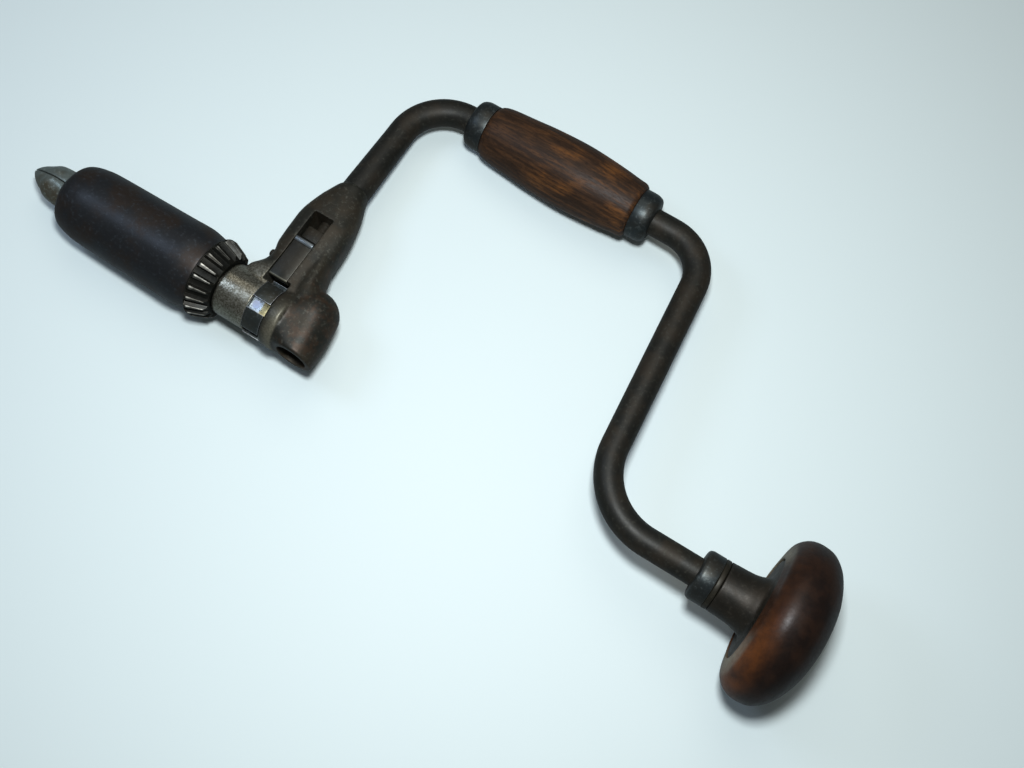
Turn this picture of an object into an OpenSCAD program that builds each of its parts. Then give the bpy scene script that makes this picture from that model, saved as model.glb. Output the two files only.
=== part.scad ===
// Ratchet bit brace with a two-jaw screw chuck and a bevel ring for a side crank.
// The origin is at the tips of the closed jaws, on the spindle's axis.
// +X runs along the spindle to the pad, +Y to the grip, and the crank lies in the XY plane.

/* [Crank] */
// Distance from the spindle's axis to the grip's axis, half the sweep
crank_r = 127; // [110:1:150]
// Diameter of the crank's rod
rod_d = 12.3; // [11:0.1:13]
// Distance along the spindle between the two arms, at the grip
grip_span = 146.3; // [140:0.5:170]
// How far the long arm leans back from the grip to the spindle's axis
arm_lean = 11.7; // [4:0.1:20]
// Straight reach from the long arm's foot to the pad's collar
foot_reach = 50.8; // [46:0.1:70]
// Bend radius between the head's arm and the grip
head_bend_r = 22.5; // [18:0.5:24]
// Bend radius between the grip and the long arm
grip_bend_r = 20; // [16:0.5:24]
// Bend radius between the long arm and the pad's end
foot_bend_r = 31; // [24:0.5:34]

/* [Forged head] */
// Half width of the forged arm beside the slot
arm_r = 14.4; // [13.6:0.1:15.5]
// Half thickness of the forged arm
arm_half_t = 9.5; // [8.6:0.1:10.5]
// Height over the axis where the forged arm meets the rod
arm_top_y = 68.4; // [66:0.2:76]
// Distance from the front collar's rear face to the arm's axis
arm_offset = 3; // [2.6:0.1:3.6]
// Outer diameter of the front collar
collar_d = 23.8; // [23:0.1:26]
// Length of the front collar
collar_len = 15.9; // [14:0.1:17]
// Width of the gap that holds the ratchet wheel
window_len = 8.9; // [8.8:0.1:9.6]
// Outer diameter of the rear cheek
cheek_d = 26.6; // [24:0.1:28]
// Height of the top of the slot that holds the pawl
slot_top_y = 47; // [44:0.5:50]
// Width of the slot that holds the pawl
slot_w = 9.5; // [9:0.1:10]
// How far the slot stands in front of the ratchet wheel's middle
slot_lead = 2.4; // [2:0.1:2.6]
// Height of the foot of the slot over the spindle's axis
slot_foot_y = 9; // [8.6:0.1:10]

/* [Socket for the side crank] */
// Bore of the socket
socket_d = 14; // [12:0.1:15]
// Depth of the socket's bore
socket_depth = 22; // [16:0.5:23]
// Outer diameter of the socket at its mouth
socket_od = 19.6; // [19:0.1:22]
// Distance from the rear cheek's front face to the socket's axis
socket_offset = 15.9; // [15.6:0.1:20]
// Distance from the spindle's axis to the socket's mouth
socket_drop = 11.7; // [11:0.1:16]
// Radius of the round shoulder over the socket
shoulder_r = 11.8; // [11:0.1:12.5]

/* [Spindle] */
// Diameter of the journal in the front collar
front_journal_d = 14; // [12:0.1:15]
// Diameter of the seat of the ratchet wheel
wheel_seat_d = 12; // [11.2:0.1:12]
// Diameter of the journal in the rear cheek
rear_journal_d = 11; // [9:0.1:11]
// Depth of the rear bearing
rear_bearing_depth = 6.5; // [5:0.1:6.6]
// Diameter of the seat of the bevel ring
ring_seat_d = 20; // [18:0.1:21]
// Diameter over the screw thread
thread_d = 25; // [24:0.1:25.4]
// Depth of the screw thread
thread_depth = 0.8; // [0.5:0.1:1]
// Pitch of the screw thread
thread_pitch = 2; // [1.6:0.1:2.6]
// Diameter of the slotted end that holds the jaws
slotted_d = 23.2; // [22.6:0.1:23.4]
// Depth of the blind hole behind the jaws
tang_hole_depth = 12; // [8:0.5:16]
// Diameter of the blind hole behind the jaws
tang_hole_d = 9; // [8:0.1:10]

/* [Ratchet] */
// Number of teeth of the ratchet wheel
wheel_teeth = 5; // [5:2:7]
// Outer diameter of the ratchet wheel
wheel_d = 25; // [24:0.1:25.2]
// Depth of the ratchet wheel's teeth
tooth_depth = 2.6; // [2:0.1:3]
// Width of the notches between the teeth
notch_w = 5.4; // [4.6:0.1:5.8]
// How far the wheel is turned from a notch towards the viewer
wheel_phase = 14.6; // [10:0.1:18]
// Width of the ratchet wheel
wheel_w = 8.5; // [8:0.1:8.6]
// Diameter of the pin through wheel and spindle
wheel_pin_d = 3.6; // [2.6:0.1:3.8]
// How far the pin stands in front of the wheel's middle
wheel_pin_lead = 1.8; // [0:0.1:2]
// Height of the pawl's pin over the spindle's axis
pawl_pin_y = 23.5; // [23.5:0.1:25]
// Diameter of the pawl's pin
pawl_pin_d = 5; // [4:0.1:5.6]
// Radius from the pawl's pin to its round tail
pawl_tail_r = 11; // [10:0.1:11.4]
// Half thickness of the pawl
pawl_half_t = 7.6; // [7:0.1:8]
// Height of the pawl's two noses over the spindle's axis
pawl_nose_y = 12.3; // [12.2:0.1:12.6]
// Slope at the outer edge of each nose
pawl_slope = 1.2; // [0.6:0.1:1.3]
// Room that the tilted noses need around the wheel
pawl_room = 1.4; // [1.4:0.1:1.6]
// Length of the plunger's wide head
plunger_head_len = 6.4; // [5:0.1:6.8]
// Half thickness of the plunger's wide head
plunger_half_t = 5; // [4:0.1:6]
// Diameter of the plunger that presses on the pawl
plunger_d = 5; // [4:0.1:6]
// Depth of the plunger's bore in the forged arm
plunger_bore_depth = 13; // [12:0.1:14]
// Diameter of the plunger spring's wire
plunger_wire_d = 0.7; // [0.5:0.05:0.8]

/* [Bevel ring] */
// Outer diameter of the ring
ring_d = 36.6; // [34:0.1:38]
// Length of the ring
ring_len = 9.2; // [8:0.1:10.5]
// Length of the ring's plain band in front of the teeth
ring_band = 1.8; // [1.2:0.1:2.6]
// Outer diameter of the ring's small end
ring_small_d = 31.2; // [30:0.1:33]
// Number of the ring's teeth
ring_teeth = 21; // [18:1:24]
// Depth of the ring's teeth
ring_tooth_depth = 2; // [1:0.1:2.4]
// Gap between teeth at their tips, as a share of one tooth and its gap
ring_gap_share = 0.74; // [0.6:0.01:0.8]
// Floor of the gap, as a share of the gap's width at the tips
ring_floor_share = 0.6; // [0.4:0.01:0.7]
// Slope at the ring's rear edge
ring_rear_slope = 1.6; // [1:0.1:2]

/* [Chuck shell] */
// Length of the shell
shell_len = 73.5; // [70:0.5:84]
// Largest diameter of the shell
shell_d = 36.3; // [35:0.1:39]
// Diameter of the mouth
mouth_d = 18.8; // [18.6:0.1:19.4]
// Length of the cylindrical mouth
mouth_len = 2; // [1.5:0.1:2.5]
// Length of the cone that closes the jaws
cone_len = 12; // [11:0.1:14]
// Bore behind the cone
shell_bore_d = 26.4; // [26.2:0.1:27]
// Length of the shell's own screw thread, at its rear
nut_len = 26; // [20:0.5:30]

/* [Jaws] */
// How far the closed jaws stand out of the mouth
jaw_show = 20; // [18:0.5:22]
// Length of the jaws
jaw_len = 46; // [44:0.5:48]
// Radius of the closed jaws just behind their rounded tips
jaw_tip_h = 2.4; // [1.8:0.1:3]
// Width of the tang's hole between the very tips, corner to corner
tip_hole_w = 1.6; // [1.2:0.1:2]
// Length over which the tang's hole widens from the tips
tip_hole_len = 12; // [10:0.5:14]
// Width of the jaws' tails in the spindle's slot
jaw_tail_w = 10.8; // [9:0.1:11]
// Gap between the closed jaws
jaw_gap = 0.6; // [0.4:0.1:0.8]
// Side of the square hole that the closed jaws leave for a bit's tang
tang_square = 7; // [6.6:0.1:7.6]
// Diameter of the jaw spring's wire
jaw_wire_d = 1.6; // [1:0.1:1.7]

/* [Grip] */
// Length of the wooden grip
grip_len = 75.7; // [70:0.1:80]
// Largest diameter of the grip
grip_d = 31.2; // [28:0.1:34]
// Diameter of the grip's ends
grip_end_d = 22.8; // [21:0.1:25]
// Diameter of the grip's collars
grip_collar_d = 22.6; // [20:0.1:24]
// Length of each of the grip's collars
grip_collar_len = 9; // [7:0.1:9.5]
// Distance from the head arm's axis to the first collar
grip_start = 24; // [23:0.1:26]

/* [Pad] */
// Diameter of the wooden pad
pad_d = 69.4; // [64:0.1:76]
// Thickness of the wooden pad
pad_t = 30; // [27:0.1:36]
// Diameter of the nut's cavity in the wood
nut_cavity_d = 22; // [20:0.1:24]
// Diameter of the pad collar, the quill and the washer between them
pad_collar_d = 21.6; // [20:0.1:23]
// Length of the pad collar
pad_collar_len = 7.6; // [6:0.1:9]
// Thickness of the thrust washer
thrust_t = 2.4; // [1.5:0.1:3]
// Length of the quill, flange included
quill_len = 17.8; // [16:0.1:20]
// Diameter of the quill's flange
flange_d = 44; // [40:0.1:46]
// Thickness of the quill's flange
flange_t = 2.4; // [2:0.1:3]
// Diameter of the pin that the quill turns on
pad_pin_d = 10; // [8:0.1:10.6]
// Thickness of the nut
nut_t = 6; // [5:0.1:6.4]
// Distance across the nut's corners
nut_corners = 16.2; // [15:0.1:17]
// Number of screws through the flange
pad_screw_count = 3; // [3:1:4]
// Diameter of the screws' shanks
pad_screw_d = 3.2; // [2.6:0.1:3.4]
// Diameter of the circle that the screws stand on
pad_screw_circle = 35; // [34.6:0.1:36]

/* [Fits] */
// Radial clearance of a turning fit
run_fit = 0.05; // [0.03:0.01:0.08]
// Radial clearance of a fixed seat
seat_fit = 0.02; // [0.01:0.01:0.03]
// Radial clearance of the wood round the rod
wood_fit = 0.1; // [0.06:0.01:0.1]
// Free space between faces that pass each other
free_gap = 0.3; // [0.25:0.01:0.35]
// End play of turning pieces
end_play = 0.15; // [0.1:0.01:0.2]

/* [Hidden] */
$fn = 64;
big = 200;
facets = 30;

// Stations along the spindle's axis
shell_x = jaw_show;
shell_end_x = shell_x + shell_len;
ring_x = shell_end_x + free_gap;
ring_end_x = ring_x + ring_len;
collar_x = ring_end_x + free_gap;
window_x = collar_x + collar_len;
cheek_x = window_x + window_len;
wheel_x = window_x + (window_len - wheel_w) / 2;
wheel_mid_x = window_x + window_len / 2;
socket_x = cheek_x + socket_offset;
arm_x = window_x + arm_offset;
slot_x = wheel_mid_x - slot_lead;
wheel_pin_x = wheel_mid_x - wheel_pin_lead;
mouth_end_x = shell_x + mouth_len;
cone_end_x = mouth_end_x + cone_len;
slotted_x = cone_end_x - 2;
jaw_slot_end_x = jaw_len + 1;
thread_x = jaw_slot_end_x + 3;
nut_x = shell_end_x - 4 - nut_len;

// The crank's centre line in the XY plane
rod_r = rod_d / 2;
// The rod is a hair thicker in its bends, and its straight lengths reach this far into them
bend_swell = 0.02;
joint_lap = 0.5;
rod_taper_top_y = crank_r - head_bend_r - 4.5;
foot_x = arm_x + grip_span + arm_lean;
pad_collar_x = foot_x + foot_reach;
thrust_x = pad_collar_x + pad_collar_len;
quill_x = thrust_x + thrust_t + end_play;
rod_path = [
    [arm_x, rod_taper_top_y], [arm_x, crank_r], [arm_x + grip_span, crank_r],
    [foot_x, 0], [thrust_x + thrust_t, 0]
];
bend_r = [0, head_bend_r, grip_bend_r, foot_bend_r, 0];

// The pad's end
flange_end_x = quill_x + quill_len;
flange_x = flange_end_x - flange_t;
nut_washer_t = 1.5;
nut_washer_x = flange_end_x + end_play;
nut_x0 = nut_washer_x + nut_washer_t;
pad_pin_end_x = nut_x0 + nut_t + 2;
pad_x = flange_x - 0.4;
pad_end_x = pad_x + pad_t;
nut_cavity_end_x = pad_pin_end_x + 2.5;
screw_len = 13;
screw_head_d = pad_screw_d * 1.8;
sink_depth = 1.5;

// The grip's stations
grip_collar_x = arm_x + grip_start;
grip_x = grip_collar_x + grip_collar_len + end_play;
grip_end_x = grip_x + grip_len;
grip_collar_rear_x = grip_end_x + end_play;

// The pawl's stations
plunger_y = pawl_pin_y + pawl_tail_r + free_gap;
plunger_bore_y = slot_top_y + plunger_bore_depth;
plunger_end_y = slot_top_y + 4;
spring_y = plunger_end_y + free_gap;
pawl_w = slot_w - 2 * free_gap;
wheel_root_r = wheel_d / 2 - tooth_depth;
wheel_tip_r = wheel_d / 2;

// Key points of a turned outline, joined by a smooth curve with n steps between two points
function knot(p, i) = p[max(0, min(len(p) - 1, i))];
function curve_point(a, b, c, d, t) =
    ((2 * b) + (c - a) * t + (2 * a - 5 * b + 4 * c - d) * t * t + (3 * b - a - 3 * c + d) * t * t * t) / 2;
function curve(p, n) = concat(
    [for (i = [0 : len(p) - 2], s = [0 : n - 1])
        curve_point(knot(p, i - 1), p[i], p[i + 1], knot(p, i + 2), s / n)],
    [p[len(p) - 1]]
);

// Bends of the rod
function leg(i) = (rod_path[i + 1] - rod_path[i]) / norm(rod_path[i + 1] - rod_path[i]);
function turn(i) = atan2(cross(leg(i - 1), leg(i)), leg(i - 1) * leg(i));
function setback(i) = bend_r[i] == 0 ? 0 : bend_r[i] * tan(abs(turn(i)) / 2);
function inward(i) = sign(turn(i)) * [-leg(i - 1).y, leg(i - 1).x];
function bend_centre(i) = rod_path[i] - leg(i - 1) * setback(i) + inward(i) * bend_r[i];

// A turned piece along X: each point is [x, radius]
module turned(points) {
    rotate([0, 90, 0])
        rotate_extrude()
            polygon([for (p = points) [p[1], p[0]]]);
}

// A round bar along X from x0 to x1
module bar(x0, x1, d) {
    translate([x0, 0, 0])
        rotate([0, 90, 0])
            cylinder(h = x1 - x0, d = d);
}

// A round bar along Y from y0 to y1
module post(y0, y1, d) {
    translate([0, y0, 0])
        rotate([-90, 0, 0])
            cylinder(h = y1 - y0, d = d);
}

// The bent rod, from the forged arm to the pad's end
module rod() {
    last = len(rod_path) - 2;
    for (i = [0 : last]) {
        from = rod_path[i] + leg(i) * (setback(i) - joint_lap);
        to = rod_path[i + 1] - leg(i) * (setback(i + 1) - (i < last ? joint_lap : 0));
        translate([from.x, from.y, 0])
            rotate([0, 0, atan2(leg(i).y, leg(i).x)])
                bar(0, norm(to - from), rod_d);
    }
    for (i = [1 : last]) {
        out = -inward(i);
        start = atan2(out.y, out.x) + min(0, turn(i));
        translate([bend_centre(i).x, bend_centre(i).y, 0])
            rotate([0, 0, start])
                rotate_extrude(angle = abs(turn(i)))
                    translate([bend_r[i], 0])
                        circle(r = rod_r + bend_swell);
    }
}

// The forged arm: an oval swelling beside the slot that draws down to the rod
module forged_arm() {
    side = curve([
        [arm_r, 0], [arm_r, 34], [arm_r - 0.3, slot_top_y - 5], [arm_r - 1.3, slot_top_y + 1.5],
        [arm_r - 2.8, slot_top_y + 8], [arm_r - 4.6, arm_top_y - 8], [arm_r - 6.2, arm_top_y - 3.6],
        [rod_r + 1.1, arm_top_y - 1.2], [rod_r + 0.6, arm_top_y]
    ], 3);
    intersection() {
        translate([arm_x, 0, 0])
            rotate([-90, 0, 0])
                rotate_extrude()
                    polygon(concat([[0, 0]], side, [[rod_r + bend_swell, rod_taper_top_y], [0, rod_taper_top_y]]));
        translate([arm_x - big / 2, 0, 0])
            rotate([90, 0, 90])
                linear_extrude(big)
                    polygon([
                        [0, -arm_half_t], [slot_top_y - 3, -arm_half_t], [arm_top_y - 9, 1 - arm_half_t],
                        [arm_top_y, -rod_r - 0.6], [rod_taper_top_y, -rod_r - 0.6],
                        [rod_taper_top_y, rod_r + 0.6], [arm_top_y, rod_r + 0.6],
                        [arm_top_y - 9, arm_half_t - 1], [slot_top_y - 3, arm_half_t], [0, arm_half_t]
                    ]);
    }
}

// The web between the front collar and the forged arm, with its hollow front edge
module front_web() {
    web_x = collar_x + 2;
    web_top_y = 30;
    difference() {
        translate([0, 0, -arm_half_t])
            linear_extrude(2 * arm_half_t)
                polygon([
                    [web_x, 0], [web_x, collar_d / 2 + 1], [arm_x - arm_r, web_top_y],
                    [wheel_mid_x, web_top_y], [wheel_mid_x, 0]
                ]);
        translate([web_x - 1, pawl_pin_y - 2.2, -big / 2])
            cylinder(h = big, r = 6.5);
    }
}

// The rear cheek, the shoulder and the side crank's socket, forged as one lump
module rear_lump() {
    hull() {
        bar(cheek_x, cheek_x + 1, cheek_d - 3.2, $fn = facets);
        bar(cheek_x + 3, cheek_x + 8, cheek_d, $fn = facets);
        translate([socket_x, 0, 0])
            post(-socket_drop, 0, socket_od, $fn = facets);
        translate([socket_x + socket_od / 2 - shoulder_r - 0.5, 8, 0])
            rotate([90, 0, 0])
                sphere(r = shoulder_r, $fn = facets);
    }
}

module crank_frame() {
    color([0.20, 0.16, 0.14])
        difference() {
            union() {
                rod();
                bar(thrust_x, pad_pin_end_x, pad_pin_d);
                forged_arm();
                front_web();
                rear_lump();
                turned([
                    [collar_x, 0], [collar_x, collar_d / 2 - 0.5], [collar_x + 0.5, collar_d / 2],
                    [window_x, collar_d / 2], [window_x, 0]
                ]);
            }
            bar(collar_x - 1, window_x + 1, front_journal_d + 2 * run_fit);
            bar(cheek_x - 1, cheek_x + rear_bearing_depth, rear_journal_d + 2 * run_fit);
            translate([window_x, -big, -big / 2])
                cube([window_len, big + 13, big]);
            translate([slot_x - slot_w / 2, slot_foot_y, -big / 2])
                cube([slot_w, slot_top_y - slot_foot_y, big]);
            translate([socket_x, 0, 0])
                post(-cheek_d, socket_depth - socket_drop, socket_d);
            translate([0, pawl_pin_y, 0])
                bar(arm_x - big / 4, arm_x + arm_r - 3, pawl_pin_d + 2 * seat_fit);
            translate([slot_x, 0, 0])
                post(slot_top_y - 1, plunger_bore_y, plunger_d + 2 * run_fit);
        }
}

module spindle() {
    crest = thread_d / 2;
    root = crest - thread_depth;
    turns = floor((shell_end_x - 2 - thread_x) / thread_pitch);
    color([0.30, 0.29, 0.28])
        difference() {
            turned(concat(
                [[slotted_x, 0], [slotted_x, slotted_d / 2 - 0.6], [slotted_x + 0.6, slotted_d / 2],
                 [thread_x, slotted_d / 2]],
                [for (i = [0 : turns - 1], p = [[0, root], [0.3, crest], [0.6, crest], [0.9, root]])
                    [thread_x + (i + p[0]) * thread_pitch, p[1]]],
                [[ring_x, root], [ring_x, ring_seat_d / 2], [ring_end_x + free_gap / 2, ring_seat_d / 2],
                 [ring_end_x + free_gap / 2, front_journal_d / 2], [window_x, front_journal_d / 2],
                 [window_x, wheel_seat_d / 2], [cheek_x, wheel_seat_d / 2],
                 [cheek_x, rear_journal_d / 2], [cheek_x + rear_bearing_depth - free_gap, rear_journal_d / 2],
                 [cheek_x + rear_bearing_depth - free_gap, 0]]
            ));
            translate([slotted_x - 1, -big / 2, -jaw_tail_w / 2 - free_gap])
                cube([jaw_slot_end_x - slotted_x + 1, big, jaw_tail_w + 2 * free_gap]);
            bar(jaw_slot_end_x - 1, jaw_slot_end_x + tang_hole_depth, tang_hole_d);
            rotate([wheel_phase, 0, 0])
                translate([wheel_pin_x, 0, -big / 2])
                    cylinder(h = big, d = wheel_pin_d + 2 * seat_fit);
        }
}

// The wheel's five broad teeth, with a notch between each two
module ratchet_wheel() {
    color([0.16, 0.17, 0.20])
        rotate([wheel_phase, 0, 0])
            difference() {
                bar(wheel_x, wheel_x + wheel_w, wheel_d);
                bar(wheel_x - 1, wheel_x + wheel_w + 1, wheel_seat_d + 2 * seat_fit);
                for (i = [0 : wheel_teeth - 1])
                    rotate([i * 360 / wheel_teeth, 0, 0])
                        translate([wheel_x - 1, -notch_w / 2, wheel_root_r])
                            cube([wheel_w + 2, notch_w, wheel_d / 2]);
                translate([wheel_pin_x, 0, -big / 2])
                    cylinder(h = big, d = wheel_pin_d + 2 * seat_fit);
            }
}

module ratchet_pin() {
    color([0.35, 0.35, 0.36])
        rotate([wheel_phase, 0, 0])
            translate([wheel_pin_x, 0, seat_fit - wheel_tip_r])
                cylinder(h = wheel_tip_r + wheel_root_r, d = wheel_pin_d);
}

module bevel_ring() {
    pitch = 360 / ring_teeth;
    cone_x = ring_x + ring_band;
    cone_end_x = ring_end_x - ring_rear_slope / 2;
    slope = atan2((ring_d - ring_small_d) / 2, cone_end_x - cone_x);
    gap_w = PI * ring_d / ring_teeth * ring_gap_share;
    reach = norm([(ring_d - ring_small_d) / 2, cone_end_x - cone_x]);
    color([0.13, 0.13, 0.14])
        difference() {
            turned([
                [ring_x, 0], [ring_x, ring_d / 2 - 0.5], [ring_x + 0.5, ring_d / 2], [cone_x, ring_d / 2],
                [cone_end_x, ring_small_d / 2], [ring_end_x, ring_small_d / 2 - ring_rear_slope], [ring_end_x, 0]
            ]);
            bar(ring_x - 1, ring_end_x + 1, ring_seat_d + 2 * seat_fit);
            for (i = [0 : ring_teeth - 1])
                rotate([i * pitch, 0, 0])
                    translate([cone_x, 0, ring_d / 2])
                        rotate([0, slope, 0])
                            translate([-1, 0, -ring_tooth_depth])
                                rotate([90, 0, 90])
                                    linear_extrude(reach + 4)
                                        polygon([
                                            [-gap_w * ring_floor_share / 2, 0], [gap_w * ring_floor_share / 2, 0],
                                            [gap_w / 2, ring_tooth_depth], [gap_w / 2, 2 * ring_tooth_depth],
                                            [-gap_w / 2, 2 * ring_tooth_depth], [-gap_w / 2, ring_tooth_depth]
                                        ]);
        }
}

// A double pawl: either nose drops into the wheel when the pawl is tipped
module pawl() {
    color([0.19, 0.19, 0.20])
        difference() {
            translate([slot_x - pawl_w / 2, 0, 0])
                rotate([90, 0, 90])
                    linear_extrude(pawl_w)
                        difference() {
                            intersection() {
                                polygon([
                                    [pawl_nose_y, pawl_slope - pawl_half_t],
                                    [pawl_nose_y + pawl_slope, -pawl_half_t],
                                    [plunger_y, -pawl_half_t], [plunger_y, pawl_half_t],
                                    [pawl_nose_y + pawl_slope, pawl_half_t],
                                    [pawl_nose_y, pawl_half_t - pawl_slope]
                                ]);
                                union() {
                                    translate([pawl_pin_y, 0])
                                        circle(r = pawl_tail_r);
                                    translate([0, -pawl_half_t])
                                        square([pawl_pin_y, 2 * pawl_half_t]);
                                }
                            }
                            circle(r = wheel_d / 2 + pawl_room);
                        }
            translate([0, pawl_pin_y, 0])
                bar(slot_x - slot_w, slot_x + slot_w, pawl_pin_d + 2 * run_fit);
        }
}

module pawl_pin() {
    color([0.30, 0.29, 0.28])
        translate([0, pawl_pin_y, 0])
            turned([
                [arm_x - arm_r, 0], [arm_x - arm_r, pawl_pin_d / 2 - 0.6],
                [arm_x - arm_r + 0.6, pawl_pin_d / 2], [arm_x + arm_r - 3.2, pawl_pin_d / 2],
                [arm_x + arm_r - 3.2, 0]
            ]);
}

// The plunger: a wide head that fills the slot and a round stem that slides in its bore
module pawl_plunger() {
    head_end_y = plunger_y + plunger_head_len;
    color([0.32, 0.31, 0.30]) {
        translate([slot_x, 0, 0])
            post(head_end_y - 1, plunger_end_y, plunger_d);
        translate([slot_x - pawl_w / 2, plunger_y, -plunger_half_t])
            cube([pawl_w, plunger_head_len, 2 * plunger_half_t]);
    }
}

// The plunger's coil spring, a helix of six turns between plunger and bore end
module pawl_spring() {
    turns = 6;
    steps = 12 * turns;
    coil_r = plunger_d / 2 - plunger_wire_d / 2 - 0.15;
    y0 = spring_y + plunger_wire_d / 2;
    y1 = plunger_bore_y - free_gap - plunger_wire_d / 2;
    rise = (y1 - y0) / steps;
    sides = 6;
    ring = [for (k = [0 : steps]) [for (j = [0 : sides - 1])
        let (a = 360 * k * turns / steps, b = 360 * j / sides,
             r = coil_r + plunger_wire_d / 2 * cos(b))
        [slot_x + r * cos(a), y0 + k * rise + plunger_wire_d / 2 * sin(b), -r * sin(a)]]];
    points = [for (r = ring, p = r) p];
    walls = [for (k = [0 : steps - 1], j = [0 : sides - 1])
        let (n = (j + 1) % sides)
        [k * sides + j, k * sides + n, (k + 1) * sides + n, (k + 1) * sides + j]];
    caps = [[for (j = [sides - 1 : -1 : 0]) j], [for (j = [0 : sides - 1]) steps * sides + j]];
    color([0.40, 0.40, 0.42])
        polyhedron(points, concat(walls, caps));
}

// The shell screws along the spindle and its cone closes the jaws
module chuck_shell() {
    r = shell_d / 2;
    outside = curve([
        [shell_x, mouth_d / 2 + 0.4], [shell_x + 0.6, r - 7.6], [shell_x + 2, r - 5.4], [shell_x + 3.2, r - 3.8],
        [shell_x + 4.6, r - 2.9], [shell_x + 7, r - 2.1], [shell_x + 10, r - 1.5],
        [shell_x + 15, r - 0.95], [shell_x + 31, r - 0.6], [shell_x + 54, r - 0.25],
        [shell_end_x - 13, r], [shell_end_x - 8.5, r - 0.05], [shell_end_x - 3.7, r - 0.9], [shell_end_x, r - 1.7]
    ], 3);
    color([0.14, 0.12, 0.12])
        difference() {
            turned(concat([[shell_x, 0]], outside, [[shell_end_x, 0]]));
            turned([
                [shell_x - 1, 0], [shell_x - 1, mouth_d / 2], [mouth_end_x, mouth_d / 2],
                [cone_end_x, shell_bore_d / 2], [nut_x, shell_bore_d / 2], [nut_x, 0]
            ]);
            bar(nut_x - 1, nut_x + nut_len, thread_d + 2 * run_fit);
            bar(nut_x + nut_len, shell_end_x + 1, shell_bore_d);
        }
}

// Both jaws as one form, before they are parted
module jaw_form() {
    cone_r = shell_bore_d / 2;
    slope = (cone_r - mouth_d / 2) / cone_len;
    shoulder_x = slotted_x - 1;
    shoulder_r = mouth_d / 2 + slope * (shoulder_x - mouth_end_x) - 0.9;
    tail_r = slotted_d / 2 - 1;
    intersection() {
        turned(concat(
            [[0, 0]],
            curve([
                [0, jaw_tip_h - 1.4], [0.7, jaw_tip_h - 0.5], [2.6, jaw_tip_h + 1], [6, jaw_tip_h + 2.8],
                [9.6, mouth_d / 2 - 1.7], [13, mouth_d / 2 - 0.9], [mouth_end_x, mouth_d / 2 - 0.4]
            ], 3),
            [[shoulder_x, shoulder_r], [shoulder_x, tail_r], [jaw_len, tail_r], [jaw_len, 0]]
        ));
        union() {
            translate([0, 0, -mouth_d / 2])
                linear_extrude(mouth_d)
                    polygon([
                        [-1, 0.6 - jaw_tip_h], [4, -jaw_tip_h - 1.9], [10, 1.6 - mouth_d / 2],
                        [shoulder_x, -shoulder_r], [shoulder_x, shoulder_r],
                        [10, mouth_d / 2 - 1.6], [4, jaw_tip_h + 1.9], [-1, jaw_tip_h - 0.6]
                    ]);
            translate([shoulder_x - 1, -tail_r, -jaw_tail_w / 2])
                cube([jaw_len - shoulder_x + 1, 2 * tail_r, jaw_tail_w]);
        }
        translate([0, big / 2, 0])
            rotate([90, 0, 0])
                linear_extrude(big)
                    polygon([
                        [-1, -jaw_tip_h], [13, 1 - mouth_d / 2], [shoulder_x, 1 - mouth_d / 2],
                        [shoulder_x, -jaw_tail_w / 2], [jaw_len, -jaw_tail_w / 2],
                        [jaw_len, jaw_tail_w / 2], [shoulder_x, jaw_tail_w / 2],
                        [shoulder_x, mouth_d / 2 - 1], [13, mouth_d / 2 - 1], [-1, jaw_tip_h]
                    ]);
    }
}

// One jaw: side is 1 for the jaw towards the grip and -1 for the other
module jaw(side) {
    difference() {
        jaw_form();
        translate([-1, side > 0 ? jaw_gap / 2 - big : -jaw_gap / 2, -big / 2])
            cube([jaw_len + 2, big, big]);
        rotate([0, 90, 0]) {
            translate([0, 0, -1])
                cylinder(h = tip_hole_len + 1, r1 = tip_hole_w / 2, r2 = tang_square / sqrt(2), $fn = 4);
            translate([0, 0, tip_hole_len - 0.01])
                cylinder(h = jaw_len, r = tang_square / sqrt(2), $fn = 4);
        }
    }
}

module jaw_upper() {
    color([0.42, 0.41, 0.39])
        jaw(1);
}

module jaw_lower() {
    color([0.42, 0.41, 0.39])
        jaw(-1);
}

// A hairpin of wire that spreads the jaws' tails
module jaw_spring() {
    leg_y = tang_square / sqrt(2) - jaw_wire_d / 2 * sqrt(2) - 0.6;
    bow_x = jaw_slot_end_x - 0.4 - jaw_wire_d / 2 - leg_y;
    color([0.45, 0.45, 0.46]) {
        for (side = [-1, 1])
            translate([0, side * leg_y, 0])
                bar(bow_x - 12, bow_x, jaw_wire_d);
        translate([bow_x, 0, 0])
            rotate([0, 0, -90])
                rotate_extrude(angle = 180)
                    translate([leg_y, 0])
                        circle(d = jaw_wire_d);
    }
}

module grip() {
    r = grip_d / 2;
    e = grip_end_d / 2;
    outside = curve([
        [grip_x, e - 0.4], [grip_x + 1.2, e + 0.7], [grip_x + 3.6, e + 1.5], [grip_x + 8, r - 2.1],
        [grip_x + 17, r - 1.4], [grip_x + 28, r - 0.5], [grip_x + grip_len * 0.58, r],
        [grip_end_x - 16, r - 1], [grip_end_x - 5.2, e + 2], [grip_end_x - 1.5, e + 1.6], [grip_end_x, e + 0.6]
    ], 4);
    color([0.27, 0.15, 0.09])
        translate([0, crank_r, 0])
            difference() {
                turned(concat([[grip_x, 0]], outside, [[grip_end_x, 0]]));
                bar(grip_x - 1, grip_end_x + 1, rod_d + 2 * wood_fit);
            }
}

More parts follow.
